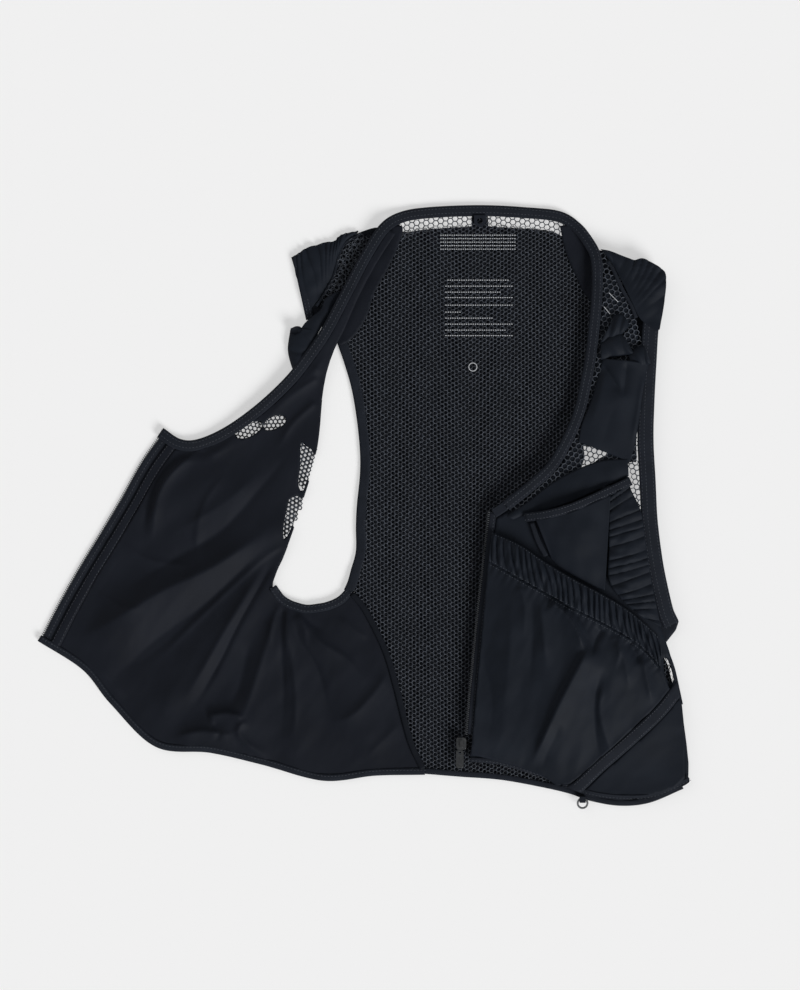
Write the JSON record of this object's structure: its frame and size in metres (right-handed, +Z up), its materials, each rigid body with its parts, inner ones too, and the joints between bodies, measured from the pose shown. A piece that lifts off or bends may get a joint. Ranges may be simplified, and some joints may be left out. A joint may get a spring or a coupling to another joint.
{
  "type": "running hydration vest",
  "caption": "Lightweight running hydration vest lying flat, left front opened out, with net back, chest flask sleeve, stretch front pocket, zip and bound edges.",
  "frame": {"origin": "on the surface the vest lies on, under the middle of its outline", "axes": "+Z up from the surface, +Y towards the collar, +X towards the closed right front"},
  "size_m": [0.4894, 0.4532, 0.026],
  "materials": {
    "shell_cloth": "thin matt woven cloth, blue-black",
    "lining_cloth": "smooth thin lining with a soft sheen, blue-black",
    "net": "knitted net with six-sided openings, black",
    "binding": "stretch binding and knitted tape with rows of stitches, black",
    "pocket_cloth": "stretch woven cloth with a slight gloss, blue-black",
    "zip_coil": "nylon zip coil, dark grey",
    "slider_metal": "dark painted zip slider and pull",
    "ring_metal": "small plain steel ring"
  },
  "bodies": {
    "root": {"back_shell": "shell_cloth", "back_net": "net", "back_armhole_binding": "binding", "back_hem_tape": "binding", "neck_net_left": "net", "neck_net_right": "net", "hanger_loop": "binding", "collar_binding_left": "binding", "collar_binding_neck": "binding", "collar_binding_right": "binding", "left_lining": "lining_cloth", "left_shell": "shell_cloth", "left_zip_coil": "zip_coil", "left_zip_tape": "binding", "left_facing": "lining_cloth", "left_hem_tape": "binding", "left_underarm_binding": "binding", "left_cap_band": "binding", "left_shoulder_cap": "pocket_cloth", "left_cap_piping": "binding", "left_sleeve_roll": "pocket_cloth", "left_sleeve_flap": "pocket_cloth", "right_front_net": "net", "right_armhole_band": "binding", "right_hem_tape": "binding", "right_cap_piping": "binding", "right_shoulder_cap": "pocket_cloth", "zip_garage": "binding", "right_zip_coil": "zip_coil", "right_zip_tape": "binding", "zip_slider": "slider_metal", "zip_pull": "slider_metal", "right_flask_sleeve": "pocket_cloth", "right_sleeve_fold_upper": "pocket_cloth", "right_sleeve_fold_lower": "pocket_cloth", "right_sleeve_fold_tip": "pocket_cloth", "right_chest_binding": "binding", "right_chest_pocket": "pocket_cloth", "right_chest_side_binding": "binding", "right_side_gusset": "pocket_cloth", "right_pocket_ruche": "pocket_cloth", "right_diagonal_binding": "binding", "right_front_pocket": "pocket_cloth", "right_side_panel": "shell_cloth", "key_ring": "ring_metal", "ring_tab": "binding"}
  },
  "joints": []
}
